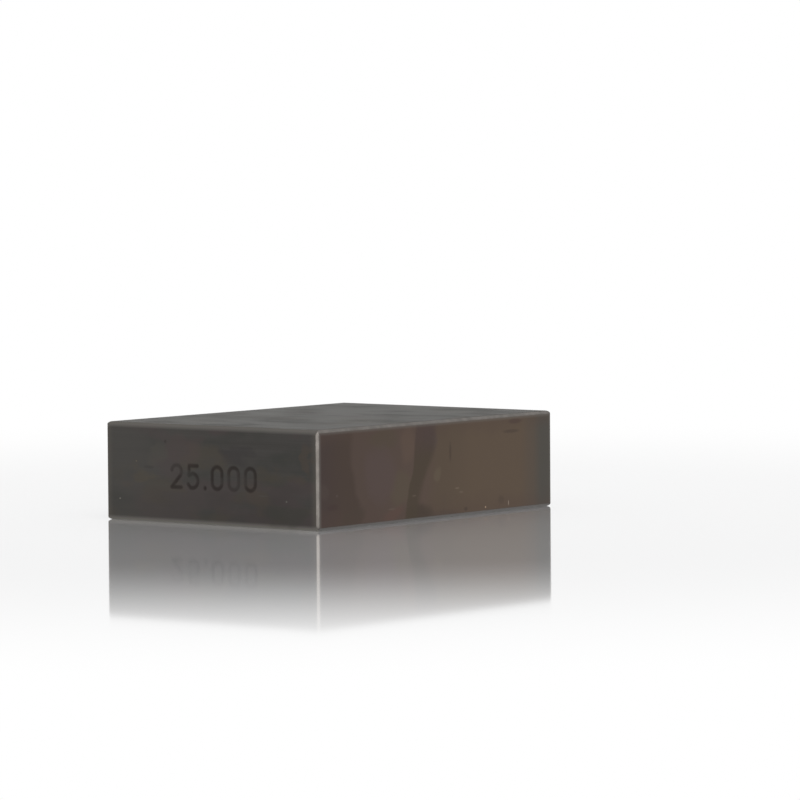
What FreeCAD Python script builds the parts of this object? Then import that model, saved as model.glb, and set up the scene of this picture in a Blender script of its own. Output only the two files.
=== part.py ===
"""Metric rectangular gauge block: one piece of hardened steel.

Its nominal length is what it is used for: the distance between two measuring
faces, which are lapped flat, parallel and mirror bright. The four sides that
run between them are ground. The long edges, where two sides meet, are rounded
over. The rim of each measuring face is bevelled, so that a knock on an edge
can't raise a burr above the face and hold it off what it is wrung to.

The frame is in millimetres. +X runs along the nominal length, from one
measuring face to the other, +Y along the wide way of the section, and +Z up
through its thickness. The block lies on a broad side, and the origin is at the
centre of that side.
"""

import FreeCAD
import Part

import os

# Driving dimensions, in millimetres
NOMINAL_LENGTH = 25.0  # from measuring face to measuring face
SECTION_WIDTH = 35.0  # wide way of the section
SECTION_THICKNESS = 9.0  # thin way of the section
LONG_EDGE_RADIUS = 0.5  # rounding of the four edges where two sides meet
FACE_RIM_BEVEL = 0.25  # bevel round each measuring face, the same both ways

PARTS_FOLDER = "parts"


def runs_along_the_length(edge):
    """True for an edge of the blank between two sides, False for one round an end."""
    return edge.BoundBox.XLength > NOMINAL_LENGTH / 2


def sharp_blank():
    """The block before its edges are broken, lying on a broad side."""
    corner = FreeCAD.Vector(-NOMINAL_LENGTH / 2, -SECTION_WIDTH / 2, 0)
    return Part.makeBox(NOMINAL_LENGTH, SECTION_WIDTH, SECTION_THICKNESS, corner)


def gauge_block():
    """The blank with its long edges rounded and both measuring faces bevelled.

    Each is done to a blank of its own, and the block is what they share. The
    flat bevels then meet in a mitre at each corner of a measuring face, and
    the rounding of the long edges runs out into them.
    """
    blank = sharp_blank()
    long_edges = [edge for edge in blank.Edges if runs_along_the_length(edge)]
    rims = [edge for edge in blank.Edges if not runs_along_the_length(edge)]
    rounded = blank.makeFillet(LONG_EDGE_RADIUS, long_edges)
    bevelled = blank.makeChamfer(FACE_RIM_BEVEL, rims)
    return rounded.common(bevelled)


def main():
    block = gauge_block()
    os.makedirs(PARTS_FOLDER, exist_ok=True)
    block.exportStep(os.path.join(PARTS_FOLDER, "gauge_block.step"))


main()
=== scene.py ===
"""The looks of a 25 mm rectangular gauge block: its finish, its figures and a plain studio.

The visible block is one mesh with the form of the CAD solid, which it stands
for. It adds what is too fine for CAD: the slight rounding where the bevels meet
the faces, and the size figures stamped in one narrow side. Lengths are in
metres, made from millimetres by MM, in the frame of the CAD part: +X along the
nominal length, +Y along the wide way of the section, +Z up, with the block
lying on the floor at Z = 0.
"""

from math import cos, pi, radians, sin

import bmesh
import bpy
import numpy as np
from mathutils import Matrix, Vector

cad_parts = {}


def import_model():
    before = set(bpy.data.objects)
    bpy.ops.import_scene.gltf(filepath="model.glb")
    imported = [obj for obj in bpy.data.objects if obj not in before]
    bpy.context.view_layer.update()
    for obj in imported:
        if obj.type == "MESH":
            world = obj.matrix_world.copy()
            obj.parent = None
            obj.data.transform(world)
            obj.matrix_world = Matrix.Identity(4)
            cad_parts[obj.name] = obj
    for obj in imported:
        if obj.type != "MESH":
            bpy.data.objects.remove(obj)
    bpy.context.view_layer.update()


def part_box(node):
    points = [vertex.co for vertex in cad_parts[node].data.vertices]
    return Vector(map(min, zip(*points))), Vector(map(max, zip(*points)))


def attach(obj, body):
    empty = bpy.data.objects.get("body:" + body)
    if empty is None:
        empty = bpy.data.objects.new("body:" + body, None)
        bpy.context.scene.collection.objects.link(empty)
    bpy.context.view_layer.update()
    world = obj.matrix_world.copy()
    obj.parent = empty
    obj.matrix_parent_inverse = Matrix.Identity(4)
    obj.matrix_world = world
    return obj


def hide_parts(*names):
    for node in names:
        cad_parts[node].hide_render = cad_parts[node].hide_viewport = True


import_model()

MM = 0.001
NODE = "gauge_block"
LOW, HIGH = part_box(NODE)
CENTRE = (LOW + HIGH) / 2

# The block's edges, of which the first two are as on the CAD solid
LONG_EDGE_RADIUS = 0.5 * MM
FACE_RIM_BEVEL = 0.25 * MM
ARC_STEPS = 12  # facets of each rounded long edge
BROKEN_EDGE = 0.07 * MM  # slight rounding of what is sharp on the CAD solid
BROKEN_EDGE_STEPS = 3
SHARP_ANGLE = radians(25)  # two faces that turn by more than this meet at a sharp edge
SQUARE_ON = 0.999  # how much of its normal lies along an axis, on a flat square to it

# The size figures, stamped in the narrow side that faces -Y
FIGURES = "25.000"
FIGURE_HEIGHT = 2.0 * MM
FIGURE_WIDTH = 1.15 * MM
FIGURE_PITCH = 1.95 * MM
POINT_PITCH = 0.9 * MM  # the decimal point takes less room
POINT_HEIGHT = 0.06 * MM  # how far up its one short stroke runs
STROKE_WIDTH = 0.42 * MM  # about as wide as a stroke looks, without its soft edges
STROKE_DEPTH = 0.04 * MM
DEEPEST_TO = 0.05  # how far from its middle line a stroke is deepest, in stroke widths
SLOPE_TO = 0.82  # and how far from it the slope runs out
ROW_ASIDE = 0.35 * MM  # how far +X of the side's middle the row of figures stands
ROW_BELOW = 0.2 * MM  # and how far below it
GRID_STEP = 0.04 * MM  # of the fine faces that the figures are pressed into
GRID_MARGIN = 0.5 * MM  # how far those faces reach past the row of figures


def linear(*srgb):
    """A colour given as 0 to 255 in sRGB, as the linear values that a shader takes."""
    shares = [channel / 255 for channel in srgb]
    values = [s / 12.92 if s <= 0.04045 else ((s + 0.055) / 1.055) ** 2.4 for s in shares]
    return (*values, 1.0)


# ---------------------------------------------------------------- the figures


def from_line(points, start, end):
    """How far each point is from the straight stroke between two points."""
    start, end = np.array(start), np.array(end)
    along = end - start
    share = np.clip((points - start) @ along / (along @ along), 0, 1)
    return np.linalg.norm(points - start - share[..., None] * along, axis=-1)


def from_arc(points, centre, radius, first, last):
    """How far each point is from an arc drawn anticlockwise, with its angles in degrees."""
    offset = points - np.array(centre)
    turn = (np.degrees(np.arctan2(offset[..., 1], offset[..., 0])) - first) % 360
    on_arc = np.abs(np.linalg.norm(offset, axis=-1) - radius)
    ends = [
        np.array(centre) + radius * np.array([cos(radians(a)), sin(radians(a))])
        for a in (first, last)
    ]
    to_ends = np.minimum(*(np.linalg.norm(points - end, axis=-1) for end in ends))
    return np.where(turn <= (last - first), on_arc, to_ends)


def strokes_of(figure, width, height):
    """The strokes of one figure as (function, arguments), its box running from 0, 0.

    The box is that of the strokes' middle lines, and a 5 is drawn in shares of it.
    """
    round_r = width / 2
    if figure == "0":
        return [
            (from_arc, (round_r, height - round_r), round_r, 0, 180),
            (from_arc, (round_r, round_r), round_r, 180, 360),
            (from_line, (0, round_r), (0, height - round_r)),
            (from_line, (width, round_r), (width, height - round_r)),
        ]
    if figure == "2":
        bow = (round_r, height - round_r)
        turn = -35
        bow_end = (bow[0] + round_r * cos(radians(turn)), bow[1] + round_r * sin(radians(turn)))
        return [
            (from_arc, bow, round_r, turn, 165),
            (from_line, bow_end, (0, 0)),
            (from_line, (0, 0), (width, 0)),
        ]
    if figure == "5":
        bowl = height * 0.32
        shoulder = (width * 0.08, height * 0.56)
        return [
            (from_line, (width * 0.95, height), (width * 0.12, height)),
            (from_line, (width * 0.12, height), shoulder),
            (from_line, shoulder, (width - bowl, bowl * 2)),
            (from_arc, (width - bowl, bowl), bowl, -90, 90),
            (from_line, (width - bowl, 0), (width * 0.25, 0)),
            (from_line, (width * 0.25, 0), (0, height * 0.16)),
        ]
    return [(from_line, (0, 0), (0, POINT_HEIGHT))]  # the decimal point


def pitch_of(figure):
    """The room that a figure takes in the row."""
    return POINT_PITCH if figure == "." else FIGURE_PITCH


def width_of(figure):
    """How wide a figure is, between the middle lines of its outer strokes."""
    return 0.0 if figure == "." else FIGURE_WIDTH


def figure_depth(points):
    """How deep the stamp has pressed at each point of the side, from 0 to 1.

    The points are measured from the middle of the row of figures.
    """
    run = sum(pitch_of(f) for f in FIGURES)
    centre = -run / 2
    nearest = np.full(points.shape[:-1], np.inf)
    for figure in FIGURES:
        centre += pitch_of(figure) / 2
        corner = np.array([centre - width_of(figure) / 2, -FIGURE_HEIGHT / 2])
        for away, *shape in strokes_of(figure, width_of(figure), FIGURE_HEIGHT):
            nearest = np.minimum(nearest, away(points - corner, *shape))
        centre += pitch_of(figure) / 2
    deepest, rim = DEEPEST_TO * STROKE_WIDTH, SLOPE_TO * STROKE_WIDTH
    share = np.clip((rim - nearest) / (rim - deepest), 0, 1)
    return share * share * (3 - 2 * share)


# ------------------------------------------------------------------ the block

GROUND, LAPPED, BEVEL = range(3)  # the places of its materials in the mesh
ENDS = ((-1, LOW.x), (1, HIGH.x))  # of the block: which way each looks along X, and where


def section_outline():
    """The (Y, Z) points of the section, with its four corners rounded."""
    radius = LONG_EDGE_RADIUS
    corners = [
        (HIGH.y - radius, LOW.z + radius, -pi / 2),
        (HIGH.y - radius, HIGH.z - radius, 0.0),
        (LOW.y + radius, HIGH.z - radius, pi / 2),
        (LOW.y + radius, LOW.z + radius, pi),
    ]
    outline = []
    for y, z, start in corners:
        for step in range(ARC_STEPS + 1):
            angle = start + pi / 2 * step / ARC_STEPS
            outline.append((y + radius * cos(angle), z + radius * sin(angle)))
    return outline


def inset(y, z):
    """How far a point of the section lies inside the sharp rectangle round it."""
    return min(HIGH.y - y, y - LOW.y, HIGH.z - z, z - LOW.z)


def end_ring(mesh, outline, side, end):
    """The points round one end of the block where its sides run out into the bevels."""
    return [
        mesh.verts.new((end - side * (FACE_RIM_BEVEL - inset(y, z)), y, z)) for y, z in outline
    ]


def close_end(mesh, outline, ring, end):
    """Closes an end of the block with its measuring face and the four bevels round it."""
    # The middle of each rounded corner is where two bevels meet in a mitre
    middles = [ARC_STEPS // 2 + corner * (ARC_STEPS + 1) for corner in range(4)]
    rim = []
    for y, z in (outline[middle] for middle in middles):
        rim.append(mesh.verts.new((
            end,
            HIGH.y - FACE_RIM_BEVEL if y > CENTRE.y else LOW.y + FACE_RIM_BEVEL,
            HIGH.z - FACE_RIM_BEVEL if z > CENTRE.z else LOW.z + FACE_RIM_BEVEL,
        )))
    mesh.faces.new(rim).material_index = LAPPED
    for corner in range(4):
        following = (corner + 1) % 4
        first, last = middles[corner], middles[following]
        last += len(ring) if last < first else 0
        outer = [ring[k % len(ring)] for k in range(first, last + 1)]
        mesh.faces.new(outer + [rim[following], rim[corner]]).material_index = BEVEL


def plain_block():
    """The block with its rounded long edges and the bevels round its measuring faces."""
    mesh = bmesh.new()
    outline = section_outline()
    low, high = [end_ring(mesh, outline, side, end) for side, end in ENDS]
    for i in range(len(outline)):
        j = (i + 1) % len(outline)
        mesh.faces.new([low[j], low[i], high[i], high[j]]).material_index = GROUND
    for ring, (_, end) in zip((low, high), ENDS):
        close_end(mesh, outline, ring, end)
    bmesh.ops.recalc_face_normals(mesh, faces=mesh.faces[:])
    return mesh


def main_side(mesh):
    """The flat of the narrow side that faces -Y."""
    facing = [f for f in mesh.faces if f.normal.y < -SQUARE_ON]
    return max(facing, key=lambda f: f.calc_area())


def figure_grid(mesh, depth_layer, plane):
    """Rows of points over the figures' place, pressed in where the figures are."""
    half_x = sum(pitch_of(f) for f in FIGURES) / 2 + GRID_MARGIN
    half_z = FIGURE_HEIGHT / 2 + GRID_MARGIN
    columns = int(2 * half_x / GRID_STEP) + 1
    rows = int(2 * half_z / GRID_STEP) + 1
    across, up = np.meshgrid(
        np.linspace(-half_x, half_x, columns), np.linspace(-half_z, half_z, rows)
    )
    depth = figure_depth(np.stack([across, up], axis=-1))
    middle_x, middle_z = CENTRE.x + ROW_ASIDE, CENTRE.z - ROW_BELOW
    grid = []
    for r in range(rows):
        line = []
        for c in range(columns):
            share = float(depth[r, c])
            vert = mesh.verts.new((
                middle_x + across[r, c], plane + STROKE_DEPTH * share, middle_z + up[r, c]
            ))
            vert[depth_layer] = share
            line.append(vert)
        grid.append(line)
    return grid


def stamp_figures(mesh):
    """Gives the narrow side a fine grid of faces, pressed in where the figures are.

    Four faces, one along each border of the grid, join it to the side's corners.
    """
    depth_layer = mesh.verts.layers.float.new("figure_depth")
    side = main_side(mesh)
    outer = {(v.co.x > CENTRE.x, v.co.z > CENTRE.z): v for v in side.verts}
    grid = figure_grid(mesh, depth_layer, plane=side.verts[0].co.y)
    for below, above in zip(grid, grid[1:]):
        for c in range(len(below) - 1):
            quad = [below[c], below[c + 1], above[c + 1], above[c]]
            mesh.faces.new(quad).material_index = GROUND
    low_left, low_right = outer[False, False], outer[True, False]
    high_left, high_right = outer[False, True], outer[True, True]
    borders = [
        (low_left, low_right, grid[0]),
        (low_right, high_right, [line[-1] for line in grid]),
        (high_right, high_left, grid[-1][::-1]),
        (high_left, low_left, [line[0] for line in grid][::-1]),
    ]
    bmesh.ops.delete(mesh, geom=[side], context="FACES_ONLY")
    for first, last, run in borders:
        mesh.faces.new([first, last] + run[::-1]).material_index = GROUND
    bmesh.ops.recalc_face_normals(mesh, faces=mesh.faces[:])


def into_object(mesh, name):
    """A new object in the scene that holds the mesh."""
    data = bpy.data.meshes.new(name)
    mesh.to_mesh(data)
    mesh.free()
    piece = bpy.data.objects.new(name, data)
    bpy.context.scene.collection.objects.link(piece)
    return piece


def apply_modifiers(piece):
    """Replaces the piece's mesh with what its modifiers make of it."""
    bpy.context.view_layer.update()
    evaluated = piece.evaluated_get(bpy.context.evaluated_depsgraph_get())
    made = bpy.data.meshes.new_from_object(evaluated)
    piece.modifiers.clear()
    piece.data = made


def block_piece():
    """The whole block, with its materials, its broken edges and its figures."""
    piece = into_object(plain_block(), "block")
    for material in (ground_steel(), lapped_steel(), bevel_steel()):
        piece.data.materials.append(material)
    bevel = piece.modifiers.new("broken_edges", "BEVEL")
    bevel.width = BROKEN_EDGE
    bevel.segments = BROKEN_EDGE_STEPS
    bevel.limit_method = "ANGLE"
    bevel.angle_limit = SHARP_ANGLE
    apply_modifiers(piece)
    mesh = bmesh.new()
    mesh.from_mesh(piece.data)
    stamp_figures(mesh)
    mesh.to_mesh(piece.data)
    mesh.free()
    for polygon in piece.data.polygons:
        polygon.use_smooth = True
    weigh = piece.modifiers.new("even_shading", "WEIGHTED_NORMAL")
    weigh.weight = 100  # as far as it goes: the large flats alone set the shading
    apply_modifiers(piece)
    return piece


# -------------------------------------------------------------- the materials

END_LIGHTER_BAND = 1.0 * MM  # how far in from its two ends a side is lighter
RIM_HIGHLIGHT = 0.35 * MM  # how far in from its bevels a measuring face has a painted highlight
BEVEL_SHADE = 0.6 * MM  # the height below which the bevels darken towards the floor
OVAL_CORE = 0.15  # how far out a mark keeps its full colour, as the square of its radius


class Nodes:
    """The nodes of a material or of the world, with short calls for those used here."""

    def __init__(self, tree):
        self.tree = tree

    def add(self, kind, **settings):
        """A new node of this kind, with its settings."""
        node = self.tree.nodes.new(kind)
        for name, value in settings.items():
            setattr(node, name, value)
        return node

    def put(self, value, socket):
        """Links a socket, or sets a plain value."""
        if isinstance(value, bpy.types.NodeSocket):
            self.tree.links.new(value, socket)
        else:
            socket.default_value = value

    def maths(self, operation, *values, clamp=False):
        """The outcome of one sum, its values given as sockets or plain numbers."""
        node = self.add("ShaderNodeMath", operation=operation, use_clamp=clamp)
        for socket, value in zip(node.inputs, values):
            self.put(value, socket)
        return node.outputs["Value"]

    def spread(self, value, low, high, to_low=0.0, to_high=1.0):
        """Maps low to high smoothly onto to_low to to_high, and holds it outside them."""
        node = self.add("ShaderNodeMapRange", interpolation_type="SMOOTHSTEP")
        for name, given in (
            ("Value", value), ("From Min", low), ("From Max", high),
            ("To Min", to_low), ("To Max", to_high),
        ):
            self.put(given, node.inputs[name])
        return node.outputs["Result"]


class Material(Nodes):
    """A material under construction, on the places of the object that it is for."""

    def __init__(self, name):
        self.material = bpy.data.materials.new(name)
        self.material.use_nodes = True
        super().__init__(self.material.node_tree)
        self.surface = self.tree.nodes["Principled BSDF"]
        self.places = self.add("ShaderNodeTexCoord").outputs["Object"]

    def axes(self):
        """The place along X, Y and Z, each on its own."""
        node = self.add("ShaderNodeSeparateXYZ")
        self.put(self.places, node.inputs["Vector"])
        return [node.outputs[name] for name in "XYZ"]

    def noise(self, features, detail, roughness=0.5, offset=(0, 0, 0)):
        """Noise whose features are about this long along X, Y and Z, in metres."""
        mapping = self.add("ShaderNodeMapping")
        self.put(self.places, mapping.inputs["Vector"])
        mapping.inputs["Scale"].default_value = [1 / size for size in features]
        mapping.inputs["Location"].default_value = offset
        node = self.add("ShaderNodeTexNoise")
        self.put(mapping.outputs["Vector"], node.inputs["Vector"])
        node.inputs["Scale"].default_value = 1.0
        node.inputs["Detail"].default_value = detail
        node.inputs["Roughness"].default_value = roughness
        return node.outputs["Fac"]

    def mix(self, share, first, second):
        """The first colour at a share of 0, the second at 1, and a blend between."""
        node = self.add("ShaderNodeMix", data_type="RGBA")
        colours = [s for s in node.inputs if s.type == "RGBA"]
        self.put(share, node.inputs["Factor"])
        self.put(first, colours[0])
        self.put(second, colours[1])
        return [s for s in node.outputs if s.type == "RGBA"][0]

    def toned(self, colour, tone, value, low, high, share=1.0):
        """The colour, turned to a tone by up to a share as a value goes from low to high."""
        return self.mix(self.spread(value, low, high, 0.0, share), colour, linear(*tone))

    def bump(self, height, distance, strength):
        """The normal of a surface that stands out by the distance where the height is 1."""
        node = self.add("ShaderNodeBump")
        node.inputs["Distance"].default_value = distance
        node.inputs["Strength"].default_value = strength
        self.put(height, node.inputs["Height"])
        return node.outputs["Normal"]

    def as_metal(self, colour, roughness, normal):
        """Gives the surface what makes it bare metal, and hands over the material."""
        self.surface.inputs["Metallic"].default_value = 1.0
        self.put(colour, self.surface.inputs["Base Color"])
        self.put(roughness, self.surface.inputs["Roughness"])
        self.put(normal, self.surface.inputs["Normal"])
        return self.material


def figure_stain(s):
    """How much of the stamp's dark floor shows, from the depth kept on the mesh."""
    pressed = s.add("ShaderNodeAttribute", attribute_name="figure_depth").outputs["Fac"]
    return s.spread(pressed, 0.05, 1.0)


def to_border(s, axis):
    """How far a place lies inside the block's box, along one axis: 0 is X, 1 Y and 2 Z."""
    from_middle = s.maths("ABSOLUTE", s.maths("SUBTRACT", s.axes()[axis], CENTRE[axis]))
    return s.maths("SUBTRACT", HIGH[axis] - CENTRE[axis], from_middle)


def over_edge(s, axis):
    """How far a place has gone into the rounding of a long edge, along one axis."""
    share = s.maths("DIVIDE", to_border(s, axis), LONG_EDGE_RADIUS)
    return s.maths("SUBTRACT", 1.0, share, clamp=True)


def long_edges(s):
    """How far a rounded long edge has turned from the upright side, 0 on all the flats."""
    return s.maths("MULTIPLY", over_edge(s, 2), s.spread(over_edge(s, 1), 0.0, 0.2))


def near_ends(s):
    """How much lighter a side is just inside the bevels at its two ends."""
    return s.spread(to_border(s, 0), END_LIGHTER_BAND, 0.0, 0.0, 0.6)


def rim_highlight(s):
    """How much a painted highlight lightens a measuring face just inside its bevels, but for the
    lowest.
    """
    from_top = s.maths("SUBTRACT", HIGH.z, s.axes()[2])
    nearest = s.maths("MINIMUM", to_border(s, 1), from_top)
    return s.spread(nearest, FACE_RIM_BEVEL + RIM_HIGHLIGHT, FACE_RIM_BEVEL, 0.0, 0.5)


def swayed(s, place, noise, reach):
    """A place along an axis, moved to and fro by a noise, by about a quarter of the reach."""
    return s.maths("ADD", place, s.maths("MULTIPLY", s.maths("SUBTRACT", noise, 0.5), reach))


def ovals(s, steel, marks, along, up, where):
    """Lays the listed marks over the steel's colour, at the places where it may show."""
    for middle, half, share, colour in marks:
        off_along = s.maths("DIVIDE", s.maths("SUBTRACT", along, middle[0] * MM), half[0] * MM)
        off_up = s.maths("DIVIDE", s.maths("SUBTRACT", up, middle[1] * MM), half[1] * MM)
        away = s.maths("ADD", s.maths("POWER", off_along, 2.0), s.maths("POWER", off_up, 2.0))
        shown = s.maths("MULTIPLY", s.spread(away, 1.0, OVAL_CORE, 0.0, share), where)
        steel = s.mix(shown, steel, linear(*colour))
    return steel


# What use has left on the block, as soft ovals: where along the two axes of its side the
# middle is, (half length, half height), both in millimetres, how much of the oval's
# colour shows, and that colour. The patches and stains are laid in swayed places, which
# makes their outlines uneven.
SIDE_PATCHES = [  # (X, Z) on the side with the figures, where the grinding shows unevenly
    ((-6.0, 6.4), (1.8, 1.2), 0.45, (78, 75, 70)),
    ((-7.8, 4.2), (2.2, 1.0), 0.4, (82, 75, 64)),
    ((-3.0, 6.9), (2.4, 1.6), 0.4, (80, 69, 68)),
    ((11.4, 6.3), (0.9, 1.6), 0.4, (80, 70, 62)),
    ((3.0, 6.4), (2.2, 1.0), 0.4, (57, 54, 55)),
    ((8.9, 1.2), (2.8, 1.3), 0.4, (58, 60, 54)),
]
SIDE_MARKS = [  # (X, Z) on the same side: rubbed spots, and specks of dust
    ((-5.3, 7.4), (0.2, 0.2), 0.4, (50, 47, 45)),
    ((-7.3, 5.0), (0.8, 0.2), 0.25, (54, 51, 49)),
    ((-8.8, 5.5), (0.08, 0.08), 0.8, (105, 96, 84)),
    ((-10.8, 2.0), (0.12, 0.1), 0.65, (118, 114, 108)),
    ((8.9, 2.5), (0.14, 0.12), 0.5, (104, 103, 98)),
    ((6.2, 2.9), (0.8, 0.1), 0.35, (78, 76, 73)),
]
TOP_MARKS = [  # (X, Y) on the top: specks of dust
    ((8.2, -4.8), (0.1, 0.25), 0.7, (150, 149, 145)),
    ((-3.9, 2.8), (0.1, 0.2), 0.6, (150, 149, 145)),
    ((-0.4, 7.6), (0.09, 0.18), 0.5, (140, 139, 136)),
    ((-0.4, 9.9), (0.09, 0.18), 0.5, (140, 139, 136)),
]
FACE_STAINS = [  # (Y, Z) on the measuring face that faces +X, where the film of oil varies
    ((-5.5, 3.0), (2.0, 2.0), 0.6, (84, 75, 63)),
    ((-6.6, 0.9), (1.9, 0.9), 0.4, (90, 69, 62)),
    ((-8.3, 7.7), (2.6, 1.1), 0.5, (78, 69, 58)),
    ((-4.6, 7.0), (1.6, 2.4), 0.6, (90, 75, 66)),
    ((-8.6, 4.6), (2.6, 3.2), 0.4, (84, 72, 71)),
    ((-1.3, 7.2), (1.3, 1.7), 0.6, (76, 66, 65)),
    ((0.9, 0.2), (2.6, 0.9), 0.5, (74, 63, 58)),
    ((-2.6, 0.4), (2.4, 1.5), 0.8, (66, 57, 50)),
    ((-12.4, 1.0), (1.9, 1.2), 0.5, (70, 61, 54)),
    ((-16.4, 3.6), (1.0, 1.0), 0.35, (78, 69, 64)),
    ((-0.1, 4.2), (0.8, 0.8), 0.4, (97, 87, 73)),
]
FACE_MARKS = [  # (Y, Z) on the same face: dark scratches and spots
    ((1.8, 6.0), (0.22, 1.2), 0.45, (62, 52, 46)),
    ((11.7, 8.3), (1.3, 0.3), 0.4, (64, 49, 49)),
    ((11.1, 7.4), (1.6, 0.22), 0.45, (64, 54, 49)),
    ((9.5, 1.1), (0.6, 0.5), 0.35, (70, 59, 52)),
    ((4.1, 0.6), (0.35, 0.25), 0.5, (62, 53, 48)),
    ((-15.4, 2.0), (1.0, 0.35), 0.3, (60, 46, 46)),
]
FACE_GRAINS = [  # (Y, Z) on the same face: light grains of dust and fine light scratches
    ((7.1, 0.57), (0.1, 0.1), 0.9, (175, 150, 128)),
    ((10.64, 0.74), (0.06, 0.3), 0.8, (150, 138, 125)),
    ((-14.8, 3.0), (0.12, 0.1), 0.3, (112, 104, 100)),
    ((2.8, 2.6), (0.4, 0.08), 0.6, (115, 102, 90)),
    ((3.4, 2.2), (0.4, 0.07), 0.5, (112, 100, 88)),
    ((-3.6, 2.3), (0.4, 0.07), 0.45, (108, 96, 86)),
    ((-6.9, 1.3), (0.7, 0.07), 0.4, (106, 94, 86)),
]


def side_wear(s, steel, x, y, z):
    """Lays the patches and marks over the side with the figures and over the top."""
    on_side = s.maths("LESS_THAN", y, LOW.y + 0.5 * LONG_EDGE_RADIUS)
    on_top = s.maths("GREATER_THAN", z, HIGH.z - 0.1 * LONG_EDGE_RADIUS)
    wander = s.noise((3 * MM, 3 * MM, 1.6 * MM), detail=4, offset=(13, 4, 8))
    sway = s.noise((3 * MM, 3 * MM, 1.6 * MM), detail=4, offset=(5, 14, 2))
    patch_x = swayed(s, x, wander, 5 * MM)
    patch_z = swayed(s, z, sway, 3 * MM)
    steel = ovals(s, steel, SIDE_PATCHES, patch_x, patch_z, on_side)
    steel = ovals(s, steel, SIDE_MARKS, x, z, on_side)
    return ovals(s, steel, TOP_MARKS, x, y, on_top)


def ground_steel():
    """The four sides: satin, with fine grinding lines along the nominal length."""
    s = Material("ground_steel")
    x, y, z = s.axes()
    lines = s.noise((9 * MM, 0.07 * MM, 0.07 * MM), detail=5, roughness=0.6)
    bands = s.noise((40 * MM, 0.6 * MM, 0.6 * MM), detail=2, offset=(3, 5, 7))
    clouds = s.noise((5 * MM, 3 * MM, 2.5 * MM), detail=4, offset=(11, 2, 4))
    browns = s.noise((5 * MM, 4 * MM, 2.6 * MM), detail=4, offset=(1, 17, 9))
    purples = s.noise((6 * MM, 5 * MM, 3.0 * MM), detail=4, offset=(21, 7, 5))
    uneven = s.noise((2.2 * MM, 2 * MM, 1.6 * MM), detail=2, offset=(6, 3, 14))

    # The steel's own tone, with faint clouds of other tones
    grain = s.maths("ADD", s.maths("MULTIPLY", lines, 0.65), s.maths("MULTIPLY", bands, 0.35))
    steel = s.mix(s.spread(grain, 0.3, 0.7), linear(65, 63, 61), linear(71, 69, 67))
    steel = s.toned(steel, (60, 61, 58), clouds, 0.45, 0.7, 0.6)
    steel = s.toned(steel, (74, 65, 65), purples, 0.5, 0.65, 0.5)
    steel = s.toned(steel, (76, 69, 59), browns, 0.5, 0.65, 0.4)

    # A painted reflection makes it lighter towards the -X end, and painted shade makes it darker
    # towards the foot
    steel = s.toned(steel, (82, 80, 77), x, 6 * MM, LOW.x, 0.35)
    steel = s.toned(steel, (56, 54, 52), z, 5 * MM, LOW.z, 0.25)
    # Lighter just inside the bevels at its two ends
    steel = s.mix(near_ends(s), steel, linear(90, 86, 80))
    # The rounded long edges are lighter, partly from wear and partly as a painted reflection.
    # They are lightest at the foot, where the colour stands for the bright floor that they
    # mirror
    floor_reflection_share = s.spread(z, LONG_EDGE_RADIUS, LOW.z)
    edge_wear_and_reflection = s.mix(floor_reflection_share, linear(112, 109, 105), linear(126, 123, 118))
    steel = s.mix(long_edges(s), steel, edge_wear_and_reflection)

    figures = figure_stain(s)
    stain = s.maths("MULTIPLY", figures, s.spread(uneven, 0.38, 0.62, 0.3, 0.7))
    steel = s.mix(stain, steel, linear(48, 43, 41))
    steel = side_wear(s, steel, x, y, z)

    s.surface.inputs["Specular Tint"].default_value = (0.44, 0.44, 0.43, 1.0)
    rough = s.maths(
        "ADD", s.spread(lines, 0.3, 0.7, 0.3, 0.4), s.spread(clouds, 0.4, 0.7, 0.0, 0.06)
    )
    stained = s.maths("MULTIPLY", figures, 0.2)
    return s.as_metal(steel, s.maths("ADD", rough, stained), s.bump(lines, 0.0015 * MM, 0.6))


def oil_film_and_reflection(s, y, z, blur_y, blur_z, on_plus_x_face):
    """The film of oil, with a painted reflection that lightens it from the near end of the face
    to the far one.

    Most of its tones change along blurred places, so that they have no straight
    border. At the far end it gives out straight across the face.
    """
    # Painted reflection: darker at the near end, and lighter past a slanting border and on along
    # the face
    steel = s.mix(s.spread(blur_y, -17 * MM, -13 * MM), linear(68, 58, 55), linear(71, 60, 54))
    slanted_y = s.maths("ADD", blur_y, s.spread(z, LOW.z, 5.5 * MM, -1.3 * MM, 0.0))
    past_dark_near_end = s.maths("MULTIPLY", s.spread(slanted_y, -13.0 * MM, -12.1 * MM), on_plus_x_face)
    steel = s.mix(past_dark_near_end, steel, linear(79, 67, 61))
    steel = s.toned(steel, (83, 70, 63), blur_y, -10 * MM, -2 * MM)
    steel = s.toned(steel, (84, 72, 61), blur_y, -3 * MM, 0.5 * MM)
    steel = s.toned(steel, (88, 75, 63), blur_y, 0.5 * MM, 6 * MM)
    steel = s.toned(steel, (84, 74, 65), y, 12.3 * MM, 14.3 * MM)
    steel = s.toned(steel, (75, 72, 67), y, 14.2 * MM, 16.0 * MM)
    steel = s.toned(steel, (78, 64, 58), blur_z, 2.4 * MM, 0.2 * MM, 0.35)
    return s.toned(steel, (79, 66, 59), blur_z, 6.8 * MM, 8.6 * MM, 0.4)


def reflected_dark_band(s, y, z, sway, on_plus_x_face):
    """A painted reflection of a dark band: slanting a little, crisp on its near side, soft on
    the far.
    """
    slant = s.maths("SUBTRACT", y, s.spread(z, -3 * MM, 9 * MM, -5.5 * MM, -3.2 * MM))
    slant = swayed(s, slant, sway, 0.8 * MM)
    width = s.spread(z, 3 * MM, 7 * MM, 1.9 * MM, 2.9 * MM)
    near_side = s.spread(slant, -0.15 * MM, 0.15 * MM)
    far_side = s.spread(s.maths("SUBTRACT", slant, width), -0.6 * MM, 0.5 * MM, 1.0, 0.0)
    return s.maths("MULTIPLY", s.maths("MULTIPLY", near_side, far_side), on_plus_x_face)


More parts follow.
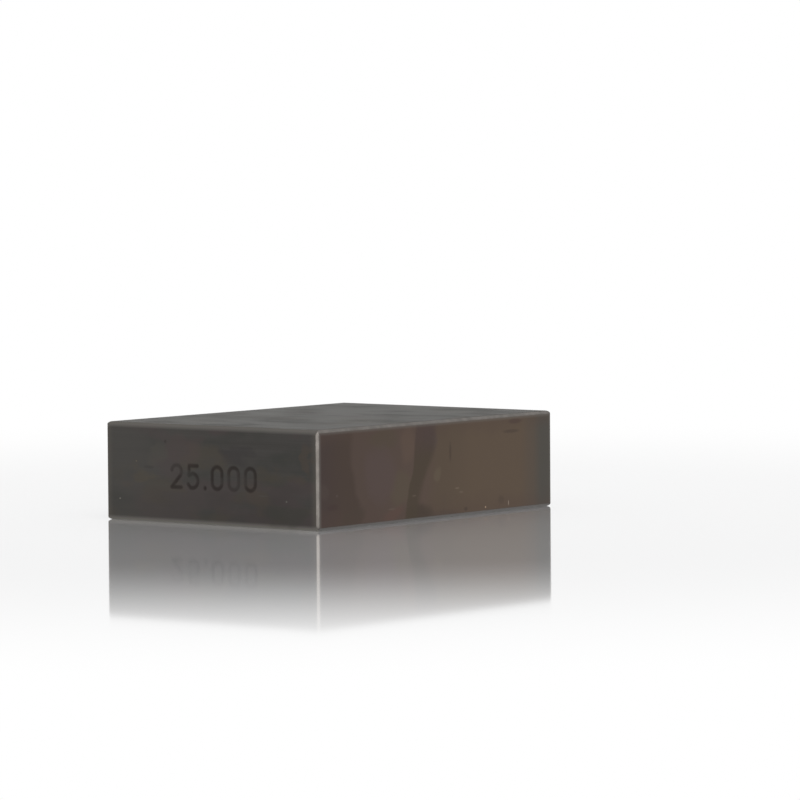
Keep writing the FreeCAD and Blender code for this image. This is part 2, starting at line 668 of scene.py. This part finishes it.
def lapped_steel():
    """The two measuring faces: mirror bright, under the faint brown of old oil, with reflections
    painted into it.
    """
    s = Material("lapped_steel")
    x, y, z = s.axes()
    on_plus_x_face = s.maths("GREATER_THAN", x, CENTRE.x)
    smears = s.noise((4 * MM, 2.5 * MM, 7 * MM), detail=4, offset=(5, 1, 1))
    wander = s.noise((4 * MM, 4 * MM, 4 * MM), detail=3, offset=(9, 6, 3))
    sway = s.noise((4 * MM, 3 * MM, 3 * MM), detail=3, offset=(2, 12, 6))
    hairs = s.noise((4 * MM, 5 * MM, 0.06 * MM), detail=4, roughness=0.6, offset=(8, 3, 13))
    blur_y = swayed(s, y, wander, 2.5 * MM)
    blur_z = swayed(s, z, sway, 2.5 * MM)

    steel = oil_film_and_reflection(s, y, z, blur_y, blur_z, on_plus_x_face)
    steel = ovals(s, steel, FACE_STAINS, blur_y, blur_z, on_plus_x_face)
    # A painted reflection of a dark band, which also roughens the face a little
    streak = reflected_dark_band(s, y, z, sway, on_plus_x_face)
    streak_tone = s.mix(s.spread(z, 5 * MM, 8 * MM), linear(70, 61, 51), linear(73, 61, 57))
    steel = s.mix(s.maths("MULTIPLY", streak, 0.85), steel, streak_tone)
    # A painted highlight just inside the bevels, at the top and the two sides
    steel = s.mix(rim_highlight(s), steel, linear(104, 100, 96))
    steel = ovals(s, steel, FACE_MARKS, y, z, on_plus_x_face)
    steel = ovals(s, steel, FACE_GRAINS, y, z, on_plus_x_face)

    cloudy = s.spread(smears, 0.35, 0.7, 0.07, 0.15)
    rough = s.maths("ADD", cloudy, s.maths("MULTIPLY", streak, 0.08))
    return s.as_metal(steel, rough, s.bump(hairs, 0.0004 * MM, 0.5))


def bevel_steel():
    """The bevels round the measuring faces: bare and brighter than the faces."""
    s = Material("bevel_steel")
    _, _, z = s.axes()
    wear = s.noise((0.9 * MM, 0.9 * MM, 0.9 * MM), detail=4, offset=(4, 4, 2))
    steel = s.mix(s.spread(wear, 0.35, 0.7), linear(98, 94, 90), linear(114, 109, 105))
    # Painted contact shadow: the bevels are darker towards the floor
    steel = s.toned(steel, (58, 55, 53), z, BEVEL_SHADE, LOW.z, 0.9)
    return s.as_metal(steel, s.spread(wear, 0.3, 0.7, 0.28, 0.36), s.bump(wear, 0.002 * MM, 0.5))


# ------------------------------------------------------------------ the studio

FLOOR_RADIUS = 2.0
FLOOR_SEGMENTS = 96
FLOOR_COLOUR = (202, 202, 203)
FLOOR_GLASS = 1.5  # the index of refraction of what gives the floor its polish
FLOOR_SHINE = 1.25  # how much more it mirrors than plain glass does
FLOOR_ROUGHNESS = 0.05  # of its polish, which blurs what it mirrors a little
FLOOR_IN_METAL = 0.85  # how white it looks at the least where metal mirrors it
SEEN_FADE = (0.05, 0.14)  # how far out the floor fades into the white round it
MIRRORED_FADE = (0.08, 0.3)  # the same, where metal mirrors it
WORLD_LIGHT = 0.75  # how strongly the world lights the block, where its white is 1

# The camera, from its aim point. Azimuth 0 looks along +Y, and grows towards +X.
AIM = CENTRE + Vector((4.8, 4.2, 5.9)) * MM
AZIMUTH, ELEVATION, ROLL = radians(38.13), radians(3.29), radians(-0.39)
DISTANCE = 0.4646  # from the aim point to the camera
LENS, SENSOR = 225.0, 36.0  # focal length and width, both in millimetres
NEAREST_SEEN = 0.01  # what is nearer to the camera than this isn't drawn


def seen(s):
    """1 where the background should look white: to the camera, in mirrors and in glass."""
    path = s.add("ShaderNodeLightPath")
    direct = path.outputs["Is Camera Ray"]
    in_metal = s.maths("MAXIMUM", direct, path.outputs["Is Glossy Ray"])
    return s.maths("MAXIMUM", in_metal, path.outputs["Is Transmission Ray"])


def whiteness(s):
    """How far the floor has turned white: away from the block, and in what mirrors it."""
    away = s.add("ShaderNodeVectorMath", operation="LENGTH")
    s.put(s.places, away.inputs[0])
    path = s.add("ShaderNodeLightPath")
    direct = s.spread(away.outputs["Value"], *SEEN_FADE)
    direct = s.maths("MULTIPLY", direct, path.outputs["Is Camera Ray"])
    mirrored = s.spread(away.outputs["Value"], *MIRRORED_FADE)
    mirrored = s.maths("MULTIPLY", mirrored, seen(s))
    in_metal = s.maths("MULTIPLY", path.outputs["Is Glossy Ray"], FLOOR_IN_METAL)
    return s.maths("MAXIMUM", s.maths("MAXIMUM", direct, mirrored), in_metal)


def floor_material():
    """Pale and polished, so that it mirrors the block, fading to white away from it."""
    s = Material("floor")
    s.tree.nodes.remove(s.surface)
    body = s.add("ShaderNodeBsdfDiffuse")
    body.inputs["Color"].default_value = linear(*FLOOR_COLOUR)
    polish = s.add("ShaderNodeBsdfGlossy")
    polish.inputs["Color"].default_value = (1.0, 1.0, 1.0, 1.0)
    polish.inputs["Roughness"].default_value = FLOOR_ROUGHNESS
    coat = s.add("ShaderNodeFresnel")
    coat.inputs["IOR"].default_value = FLOOR_GLASS
    polished = s.add("ShaderNodeMixShader")
    s.put(s.maths("MULTIPLY", coat.outputs["Fac"], FLOOR_SHINE), polished.inputs["Fac"])
    s.put(body.outputs["BSDF"], polished.inputs[1])
    s.put(polish.outputs["BSDF"], polished.inputs[2])
    white = s.add("ShaderNodeEmission")
    white.inputs["Strength"].default_value = 1.0
    faded = s.add("ShaderNodeMixShader")
    s.put(whiteness(s), faded.inputs["Fac"])
    s.put(polished.outputs["Shader"], faded.inputs[1])
    s.put(white.outputs["Emission"], faded.inputs[2])
    output = s.tree.nodes["Material Output"]
    s.put(faded.outputs["Shader"], output.inputs["Surface"])
    return s.material


def floor():
    """The round floor that the block lies on."""
    mesh = bmesh.new()
    bmesh.ops.create_circle(mesh, cap_ends=True, segments=FLOOR_SEGMENTS, radius=FLOOR_RADIUS)
    plane = into_object(mesh, "floor")
    plane.location.z = LOW.z
    plane.data.materials.append(floor_material())


def world():
    """An even white all round, which lights the block a little less than white would."""
    surroundings = bpy.data.worlds.new("studio")
    surroundings.use_nodes = True
    bpy.context.scene.world = surroundings
    s = Nodes(surroundings.node_tree)
    background = s.tree.nodes["Background"]
    background.inputs["Color"].default_value = (1.0, 1.0, 1.0, 1.0)
    s.put(s.spread(seen(s), 0.0, 1.0, WORLD_LIGHT, 1.0), background.inputs["Strength"])


def direction(azimuth, elevation):
    """The unit vector that points from the block to this azimuth and elevation."""
    return Vector((
        sin(azimuth) * cos(elevation), -cos(azimuth) * cos(elevation), sin(elevation)
    ))


def softbox(name, azimuth, elevation, distance, size, power):
    """A square area light aimed at the block: degrees, metres and watts."""
    data = bpy.data.lights.new(name, "AREA")
    data.shape = "SQUARE"
    data.size = size
    data.energy = power
    lamp = bpy.data.objects.new(name, data)
    bpy.context.scene.collection.objects.link(lamp)
    towards = direction(radians(azimuth), radians(elevation))
    lamp.location = CENTRE + towards * distance
    lamp.rotation_euler = towards.to_track_quat("Z", "Y").to_euler()


def camera():
    """A long lens, low over the floor, a little rolled."""
    data = bpy.data.cameras.new("camera")
    data.lens = LENS
    data.sensor_width = SENSOR
    data.clip_start = NEAREST_SEEN
    eye = bpy.data.objects.new("camera", data)
    bpy.context.scene.collection.objects.link(eye)
    back = direction(AZIMUTH, ELEVATION)
    right = Vector((cos(AZIMUTH), sin(AZIMUTH), 0.0))
    up = back.cross(right)
    level = Matrix((right, up, back)).transposed()
    turn = level @ Matrix.Rotation(ROLL, 3, "Z")
    eye.matrix_world = Matrix.Translation(AIM + back * DISTANCE) @ turn.to_4x4()
    bpy.context.scene.camera = eye


# ------------------------------------------------------------------- the scene

block = block_piece()
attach(block, "root")
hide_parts(NODE)

floor()
world()
softbox("key_light", azimuth=75, elevation=60, distance=0.7, size=0.5, power=1.5)
softbox("edge_light", azimuth=52, elevation=12, distance=0.8, size=0.4, power=1.8)
camera()
bpy.context.scene.view_settings.view_transform = "Standard"
